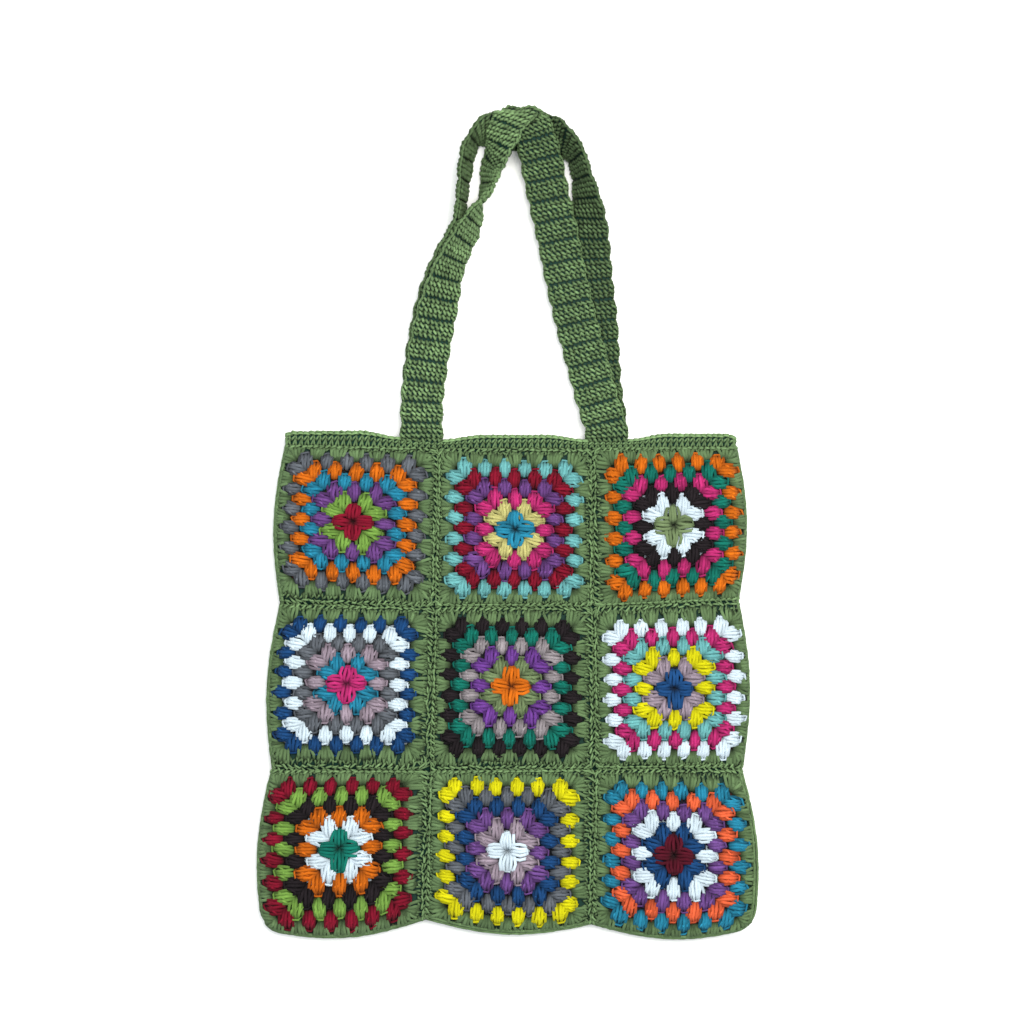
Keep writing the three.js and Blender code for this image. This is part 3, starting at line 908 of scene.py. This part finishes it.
def make_square(name, column, row, front, chart, seed):
    square = Square(column, row, front, seed)
    names = chart + GREENS
    used = list(dict.fromkeys(names))
    yarns = np.array([used.index(n) for n in names])
    ground_square(square, yarns)
    weave_square(square, yarns)
    keep_piece(square.skein, name, used, name.replace("stitched", "square"))


FRONT_SEED = 10
BACK_SEED = 110
BAND_SEED = 50  # the band's and the straps' strands are drawn from seeds of their own

for row in range(ROWS):
    for column in range(COLUMNS):
        number = row * COLUMNS + column
        make_square(
            f"stitched_front_row{row + 1}_col{column + 1}", column, ROWS - 1 - row, True,
            CHART[row][column], FRONT_SEED + number,
        )
        make_square(
            f"stitched_back_row{row + 1}_col{column + 1}", column, ROWS - 1 - row, False,
            CHART[ROWS - 1 - row][COLUMNS - 1 - column], BACK_SEED + number,
        )


# Band round the mouth

# Places along the mouth, in squares from the left, and how far up the band's stitches reach there
MOUTH_PLACES = (0, 0.05, 0.75, 0.85, 2.15, 2.4, 2.95, 3)
MOUTH_STRETCH = (1.15, 1.4, 1.4, 1, 1, 1.1, 1.1, 0.8)
BAND_STITCHES = 76
BAND_PATHS = [
    # a stitch's strands: (along in stitches, share of the way up the band, height in mm)
    [(-0.35, -0.25, 0.2), (-0.1, 0.1, 1.9), (0.25, 0.5, 1.6)],
    [(0.45, -0.2, 0.4), (0.3, 0.15, 1.8), (0.25, 0.5, 1.4)],
    [(-0.45, 0.3, 0.8), (-0.2, 0.5, 2.3), (0.2, 0.7, 1.9)],
    [(0.5, 0.35, 0.8), (0.35, 0.55, 2.1), (0.3, 0.75, 1.6)],
    [(-0.7, 0.75, 1.0), (-0.25, 0.88, 2.4), (0.3, 0.84, 2.5), (0.75, 0.75, 1.1)],
    [(-0.65, 0.95, 0.6), (-0.2, 1.0, 1.9), (0.3, 0.96, 2.0), (0.7, 0.9, 1.1)],
]
CHAIN_START = 0.7  # strands that begin further up are chains, left out where a strap stands
BAND_RADIUS = 1.0
BAND_FRONT_LIFT = -1.6  # height of the ground's face over the band's surface, mm
BAND_BACK_LIFT = -3.0
BAND_FILL = 3.0  # how much further out the band's stitches stand where it turns over, mm
BAND_MARGIN = 0.002  # how far inside the band's ends strands stay, in squares
BAND_WANDER = (0.0006, 0.02, 0.08)  # spread along, up the band and in height
BAND_TONE_SPREAD = 0.12
BAND_SHADE = 1.18
CHAIN_SHADE = 1.5  # the chains of the free edge catch the light
# painted shade of the band's ground between its stitches
BAND_GROUND_PAINTED_SHADE = 0.25
BAND_GROUND_STEPS = 90
BAND_GROUND_GATHER = 0.02
END_YARN_INSET = 0.012  # place of the yarn that runs down each end of the band, in squares
END_YARN_HEIGHT = 1.6
END_YARN_SHARES = np.linspace(0.95, -0.3, 8)  # its points, as shares of the way up the band


def weave_band_side(skein, random, front):
    """The stitches and the ground of the band's front or back."""
    lift = BAND_FRONT_LIFT if front else BAND_BACK_LIFT

    def surface(u, e):
        return band_wall(u, e, front)

    def place(u, e, heights):
        u = np.clip(u, BAND_MARGIN, COLUMNS - BAND_MARGIN)
        e = e * np.interp(u, MOUTH_PLACES, MOUTH_STRETCH)
        normals = outward(surface, u, e, (0, -1), (COLUMNS, 2), not front)
        rise = fold_at(np.minimum(u, COLUMNS - u) * PITCH_X)
        fill = np.where(u > 1, BAND_FILL, LEFT_FILL) if front else 0
        heights = heights + lift + fill * (1 - rise)
        return surface(u, e) + normals * (heights * MM)[..., None], normals

    pitch = COLUMNS / BAND_STITCHES
    all_centres = (np.arange(BAND_STITCHES) + 0.5) * pitch
    x = panel_plan(all_centres, np.full(BAND_STITCHES, float(ROWS)))[0]
    away_from_feet = mouth_distance(x) > STRAP_WIDTH / 2
    for path in BAND_PATHS:
        path = np.array(path)
        in_chain = path[0, 1] > CHAIN_START
        centres = all_centres[away_from_feet] if front and in_chain else all_centres
        wander = [random.normal(0, spread, (len(centres), len(path))) for spread in BAND_WANDER]
        u = centres[:, None] + path[None, :, 0] * pitch + wander[0]
        e = path[None, :, 1] + wander[1]
        heights = path[None, :, 2] + wander[2]
        if not front:
            heights = heights * BACK_RELIEF
        lines, normals = place(u, e, heights)
        shade = CHAIN_SHADE if in_chain else BAND_SHADE
        tones = random.normal(shade, BAND_TONE_SPREAD, (len(centres), 1)) * painted_depth_shading(heights)
        skein.strands(above_floor(lines), normals, BAND_RADIUS * MM * tapered(len(path)), tones, 0)
    if front:
        for end in (END_YARN_INSET, COLUMNS - END_YARN_INSET):
            e = END_YARN_SHARES[None]
            lines, normals = place(np.full_like(e, end), e, np.full_like(e, END_YARN_HEIGHT))
            skein.strands(lines, normals, FOLD_RADIUS * MM, GREEN_PAINTED_SHADE, 0, CORD_SIDES)
    share = np.linspace(0, COLUMNS, BAND_GROUND_STEPS + 1)
    share = share - BAND_GROUND_GATHER * np.sin(2 * np.pi * share / COLUMNS)
    u, e = np.meshgrid(share, np.array([0.0, 0.5, 1.0]))
    outer, normals = place(u, e, np.zeros_like(u))
    inner = surface(u, e) - normals * BAND_FABRIC
    if not front:
        outer, inner = outer[:, ::-1], inner[:, ::-1]
    skein.slab(outer, inner, BAND_GROUND_PAINTED_SHADE, np.ones((2, BAND_GROUND_STEPS), int))


def make_band():
    """Single crochet with a chain along its free edge, all round the mouth."""
    skein = Skein()
    random = np.random.default_rng(BAND_SEED)
    for front in (True, False):
        weave_band_side(skein, random, front)
    keep_piece(skein, "stitched_band", GREENS, "top_band")


make_band()


# Straps

FINE = 10  # stations from one row of a strap's table to the next
FOLD_REACH = 9 * MM  # how far from a strap's fold its fabric sags
FOLD_SAG = 2.2  # how far it sags, mm, and how much more at its middle and at its edges
FOLD_SAG_MIDDLE = 0.9
FOLD_SAG_EDGE = 2.6


def between(values, index, t):
    """Values between the rows of a list, on a Catmull-Rom curve."""
    last = len(values) - 1
    a, b, c, d = (values[np.clip(index + k, 0, last)] for k in (-1, 0, 1, 2))
    bend = 2 * a - 5 * b + 4 * c - d + (3 * b - a - 3 * c + d) * t
    return b + 0.5 * t * (c - a + t * bend)


class Strap:
    """A strap's frames along its length, worked out as in the part's source."""

    def __init__(self, table):
        rows = np.array([row + [0] * (6 - len(row)) for row in table], float)
        rise, across, turn, level, ply, edge = rows.T
        turn = np.radians(turn)
        low = level * FRONT_FOOT + ply * STRAP_FABRIC + edge * STRAP_WIDTH + GAP
        drawn = np.clip((rise - GATHER_RISE) / (1 - GATHER_RISE), 0, 1)
        width = STRAP_WIDTH * (1 - GATHER * drawn * drawn * (3 - 2 * drawn))
        x = HANDLE_SHIFT + across * STRAP_SPACING
        y = ROOT_LINE + GAP + rise * (HANDLE_RISE - GAP)
        z = low + (width * np.abs(np.sin(turn)) + STRAP_FABRIC * np.abs(np.cos(turn))) / 2
        lie = self.lie_of(rows, x, y)
        steps = np.arange((len(rows) - 1) * FINE + 1)
        index = np.minimum(steps // FINE, len(rows) - 2)
        t = steps / FINE - index
        x, y, z, turn, lie, width = (between(values, index, t) for values in (x, y, z, turn, lie, width))
        self.centre = np.stack([x + MIDDLE[0], y + MIDDLE[1], z], -1)
        travel = np.gradient(self.centre, axis=0)
        travel[0] = (0, 1, 0)
        travel[-1] = (0, -1, 0)
        travel = unit(travel)
        row = np.stack([np.cos(lie), np.sin(lie), np.zeros_like(lie)], -1)
        over = unit(np.cross(row, travel))
        side = row * np.cos(turn)[:, None] + over * np.sin(turn)[:, None]
        face = np.cross(side, travel)
        self.side = side / np.linalg.norm(face, axis=-1, keepdims=True) * (width / STRAP_WIDTH)[:, None]
        self.face = unit(face)
        gaps = np.linalg.norm(np.diff(self.centre, axis=0), axis=-1)
        self.run = np.concatenate([[0], np.cumsum(gaps)])
        self.fold = self.run[int(np.argmax(rise)) * FINE] if rise.max() == 1 else None
        self.length = self.run[-1]

    def slump(self, lines, along, across):
        """Lets the fold at the top of a strap sag at its ends and middle, as soft fabric does."""
        if self.fold is None:
            return lines
        near = np.exp(-((along - self.fold) / FOLD_REACH) ** 2)
        q = across / (STRAP_WIDTH / 2)
        sag = FOLD_SAG + FOLD_SAG_MIDDLE * np.cos(2 * np.pi * q) + FOLD_SAG_EDGE * np.abs(q) ** 4
        lowered = lines.copy()
        lowered[..., 1] -= near * sag * MM
        return lowered

    @staticmethod
    def lie_of(rows, x, y):
        last = len(rows) - 1
        lies = []
        folded = 1
        for i in range(last + 1):
            before, after = max(0, i - 1), min(last, i + 1)
            in_fold = rows[i, 2] == -180 and rows[i, 0] > FOLD_RISE
            if in_fold:
                folded = -1
            at_foot = i in (0, last)
            dx = 0 if at_foot else x[after] - x[before]
            dy = y[after] - y[before]
            lie = 0 if in_fold else math.atan2(-dx * folded, dy * folded)
            if lies:
                lie -= 2 * math.pi * round((lie - lies[-1]) / (2 * math.pi))
            lies.append(lie)
        return np.array(lies)

    def at(self, along):
        """Centre, side and face vectors at distances along the strap."""
        index = np.interp(along, self.run, np.arange(len(self.run)))
        low = np.clip(index.astype(int), 0, len(self.run) - 2)
        t = (index - low)[..., None]
        past = np.where(along < 0, along, np.where(along > self.length, along - self.length, 0))[..., None]
        centre, side, face = (mix(v[low], v[low + 1], t) for v in (self.centre, self.side, self.face))
        ends = np.where(along[..., None] < 0, (0, 1, 0), (0, -1, 0))
        return centre + ends * past, side, face


REPEAT = 15.9 * MM  # from one groove of a strap to the next
ACROSS = 8  # stitches across a strap
STRAP_ROWS = 4  # rows of stitches between two grooves
ROW_START = 0.05  # shares of a repeat: where the first row begins, and a row's height
ROW_SHARE = 0.225
ROW_SHIFT = 0.2  # how far every other row is shifted, in stitches
STRAP_PATHS = [
    # a stitch's two strands: (across in stitches, towards the foot in rows, height in mm), radius in mm
    ([(-0.5, -0.05, 0.4), (-0.28, 0.25, 2.2), (0.08, 0.62, 2.7), (0.45, 1.08, 0.9)], 1.15),
    ([(0.5, 0.1, 0.3), (0.3, 0.45, 1.8), (-0.05, 0.95, 0.9)], 1.0),
]
STRAP_WANDER_ACROSS = 0.3 * MM
STRAP_WANDER_ALONG = 0.35 * MM
STRAP_HEIGHT_SPREAD = 0.08
STRAP_TONE_SPREAD = 0.15
STRAP_TAPER = 0.65
EDGE_PATHS = [
    # an edge chain's strands: (along in chains, outwards in mm, towards the face in mm)
    [(-0.6, -0.9, -0.5), (-0.2, 0.2, 0.4), (0.25, 0.3, 0.5), (0.65, -0.7, -0.5)],
    [(-0.1, -0.5, 0.7), (0.3, 0.3, -0.6), (0.75, -0.3, -0.8)],
]
EDGE_CHAIN_RADIUS = 0.95
EDGE_WANDER = 0.15 * MM
EDGE_TONE_SPREAD = 0.08
EDGE_DIP_PAINTED_SHADE = 0.7  # painted shade: how dark an edge chain's strand is painted where it goes in
# painted shade of the chains along a strap's edges, which face sideways
EDGE_PAINTED_SHADE = 0.85
FOOT_PAINTED_SHADE_RUN = 9 * MM
FOOT_PAINTED_SHADE = 0.3  # painted shade: how much darker a strap is painted at its feet, where it stands on the band
PAINTED_SHADE_PLACES = (0.0, 0.3, 0.48, 0.54, 0.7, 1.0)  # where a strap's painted light and shade are given, from foot to foot
OVERLAP = 3 * MM  # how far a strap's stitches run on over the band at its feet
STRAP_INSET = 0.6 * MM  # how far inside a strap's width its stitches end
# painted shade of the strap's ground between its stitches
STRAP_GROUND_PAINTED_SHADE = 0.2
STRAP_GROUND_STRIPS = 8
STRAP_GROUND_INSET = 0.3 * MM
GROUND_HALF = 0.5  # half thickness of the ground inside a strap, mm
RELIEF = 0.6  # share of the paths' heights that a strap shows
EDGE_LINKS = 4  # chain stitches along an edge in one repeat
EDGE_BULGE = 1.7  # how much further out a strap's edges are between two grooves than at them, mm
HALF_WIDTH = STRAP_WIDTH / 2 - STRAP_INSET


def scallop(share):
    """How far a strap's fabric swells between two grooves, and draws in at them."""
    return EDGE_BULGE * (np.abs(np.sin(np.pi * share)) - 0.5) * MM


class StrapWeave:
    """Lays the strands and the ground of one strap."""

    def __init__(self, table, seed, painted_shades):
        self.strap = Strap(table)
        self.skein = Skein()
        self.random = np.random.default_rng(seed)
        self.painted_shades = painted_shades
        self.repeats = round((self.strap.length + 2 * OVERLAP) / REPEAT)
        self.pitch = (self.strap.length + 2 * OVERLAP) / self.repeats

    def painted_shade_at(self, along):
        """Painted light and shade from the first foot to the last, painted darker where a foot stands on
        the band.
        """
        foot = np.minimum(along, self.strap.length - along) / FOOT_PAINTED_SHADE_RUN
        at_foot = np.exp(-np.maximum(foot, 0) ** 2)
        return np.interp(along / self.strap.length, PAINTED_SHADE_PLACES, self.painted_shades) * (1 - FOOT_PAINTED_SHADE * at_foot)

    def weave_face(self, facing):
        """The rows of stitches of one face."""
        stitch = 2 * HALF_WIDTH / ACROSS
        counts = np.meshgrid(np.arange(ACROSS), np.arange(STRAP_ROWS), np.arange(self.repeats))
        j, k, r = (count.reshape(-1, 1) for count in counts)
        for path, radius in STRAP_PATHS:
            step, towards_foot, height = np.array(path).T
            share = ROW_START + (k + towards_foot) * ROW_SHARE
            across = (j + 0.5 + ROW_SHIFT * (k % 2 - 0.5) + step * facing) * stitch - HALF_WIDTH
            across = np.clip(across, -HALF_WIDTH, HALF_WIDTH) * (1 + scallop(share) / HALF_WIDTH)
            across = across + self.random.normal(0, STRAP_WANDER_ACROSS, across.shape)
            along = (r + (share if facing < 0 else 1 - share)) * self.pitch - OVERLAP
            along = along + self.random.normal(0, STRAP_WANDER_ALONG, along.shape)
            swell = 0.75 + 0.35 * np.sin(np.pi * share)
            heights = height * RELIEF * swell + self.random.normal(0, STRAP_HEIGHT_SPREAD, (len(j), 1))
            centre, side, face = self.strap.at(along)
            rise = (GROUND_HALF + heights) * facing * MM
            lines = centre + side * across[..., None] + face * rise[..., None]
            lines = self.strap.slump(lines, along, across)
            tones = self.random.normal(1, STRAP_TONE_SPREAD, (len(j), 1)) * painted_depth_shading(height * swell)
            radii = radius * MM * tapered(len(path), STRAP_TAPER)
            tones = tones * self.painted_shade_at(along)
            self.skein.strands(above_floor(lines), unit(face) * facing, radii, tones, 0)

    def weave_edge(self, edge):
        """The chains along one edge."""
        links = np.arange(self.repeats * EDGE_LINKS)
        for path in EDGE_PATHS:
            step, out, height = np.array(path).T
            share = (links[:, None] + 0.5 + step) / EDGE_LINKS
            along = share * self.pitch - OVERLAP
            centre, side, face = self.strap.at(along)
            reach = HALF_WIDTH + out * MM + scallop(share) + self.random.normal(0, EDGE_WANDER, share.shape)
            lines = centre + side * (edge * reach)[..., None] + face * (height * MM)[None, :, None]
            lines = self.strap.slump(lines, along, edge * reach)
            tones = self.random.normal(EDGE_PAINTED_SHADE, EDGE_TONE_SPREAD, (len(links), 1)) * self.painted_shade_at(along)
            tones[:, 0] *= EDGE_DIP_PAINTED_SHADE
            self.skein.strands(above_floor(lines), unit(side) * edge, EDGE_CHAIN_RADIUS * MM, tones, 0)

    def lay_ground(self):
        """The fabric inside the strap, darkened with painted shade."""
        stations = np.linspace(0, self.strap.length, 4 * self.repeats + 1)
        centre, side, face = self.strap.at(stations)
        steps = np.linspace(-1, 1, STRAP_GROUND_STRIPS + 1)
        across = (steps * (HALF_WIDTH - STRAP_GROUND_INSET))[:, None]
        flat = self.strap.slump(centre[None] + side[None] * across[..., None], stations[None], across)
        thick = (face * GROUND_HALF * MM)[None]
        yarns = np.ones((STRAP_GROUND_STRIPS, len(stations) - 1), int)
        self.skein.slab(flat + thick, flat - thick, STRAP_GROUND_PAINTED_SHADE, yarns)


def make_strap(name, node, table, seed, painted_shades):
    weave = StrapWeave(table, seed, painted_shades)
    for facing in (1, -1):
        weave.weave_face(facing)
    for edge in (1, -1):
        weave.weave_edge(edge)
    weave.lay_ground()
    keep_piece(weave.skein, name, GREENS, node)


FRONT_STRAP_SEED = 60
BACK_STRAP_SEED = 61
# painted light and shade along each strap: the front one lit at the fold's flap and shaded just past it
FRONT_PAINTED_SHADES = (1.12, 1.07, 1.14, 0.78, 0.88, 1.06)
BACK_PAINTED_SHADES = (0.8, 0.75, 0.64, 0.56, 0.57, 0.65)  # painted shade: it lies lower and partly under the front one
make_strap("stitched_handle_front", "handle_front", FRONT_HANDLE, FRONT_STRAP_SEED, FRONT_PAINTED_SHADES)
make_strap("stitched_handle_back", "handle_back", BACK_HANDLE, BACK_STRAP_SEED, BACK_PAINTED_SHADES)


# Floor, light and camera

FLOOR_REACH = 12.0


def make_floor():
    mesh = bpy.data.meshes.new("floor")
    corners = [(x * FLOOR_REACH, y * FLOOR_REACH, 0) for x, y in ((-1, -1), (1, -1), (1, 1), (-1, 1))]
    mesh.from_pydata(corners, [], [(0, 1, 2, 3)])
    floor = bpy.data.objects.new("floor", mesh)
    material = bpy.data.materials.new("pale_floor")
    material.use_nodes = True
    shader = material.node_tree.nodes["Principled BSDF"]
    shader.inputs["Base Color"].default_value = (0.97, 0.97, 0.97, 1)
    shader.inputs["Roughness"].default_value = 0.9
    shader.inputs["Specular IOR Level"].default_value = 0.1
    mesh.materials.append(material)
    bpy.context.scene.collection.objects.link(floor)


def add_light(name, place, size, power, colour):
    light = bpy.data.lights.new(name, "AREA")
    light.color = colour
    light.shape = "DISK"
    light.size = size
    light.energy = power
    lamp = bpy.data.objects.new(name, light)
    lamp.location = place
    aim = -np.array(place, float)
    lamp.rotation_euler = (
        math.atan2(math.hypot(aim[0], aim[1]), -aim[2]), 0, math.atan2(aim[1], aim[0]) - math.pi / 2,
    )
    bpy.context.scene.collection.objects.link(lamp)


def make_world(strength, colour):
    world = bpy.data.worlds.new("studio")
    world.use_nodes = True
    background = world.node_tree.nodes["Background"]
    background.inputs["Color"].default_value = (*colour, 1)
    background.inputs["Strength"].default_value = strength
    bpy.context.scene.world = world


VIEW_MIDDLE = (0.0035, 0.0069)  # the point under the middle of the picture
VIEW_WIDTH = 0.7782  # width that the picture takes in at the level of the front wall
LENS = 100
SENSOR = 36


def make_camera():
    camera = bpy.data.cameras.new("camera")
    camera.lens = LENS
    camera.sensor_width = SENSOR
    camera.clip_end = 20
    holder = bpy.data.objects.new("camera", camera)
    holder.location = (*VIEW_MIDDLE, FRONT_TOP + VIEW_WIDTH * LENS / SENSOR)
    bpy.context.scene.collection.objects.link(holder)
    bpy.context.scene.camera = holder


make_floor()
add_light("key", (1.0, 0.9, 2.6), 2.0, 92, (1.0, 0.97, 0.9))
add_light("top", (-0.3, 0.2, 2.8), 2.0, 58, (1.0, 0.98, 0.95))
make_world(0.5, (0.84, 0.95, 1.0))
make_camera()
bpy.context.scene.view_settings.view_transform = "Standard"
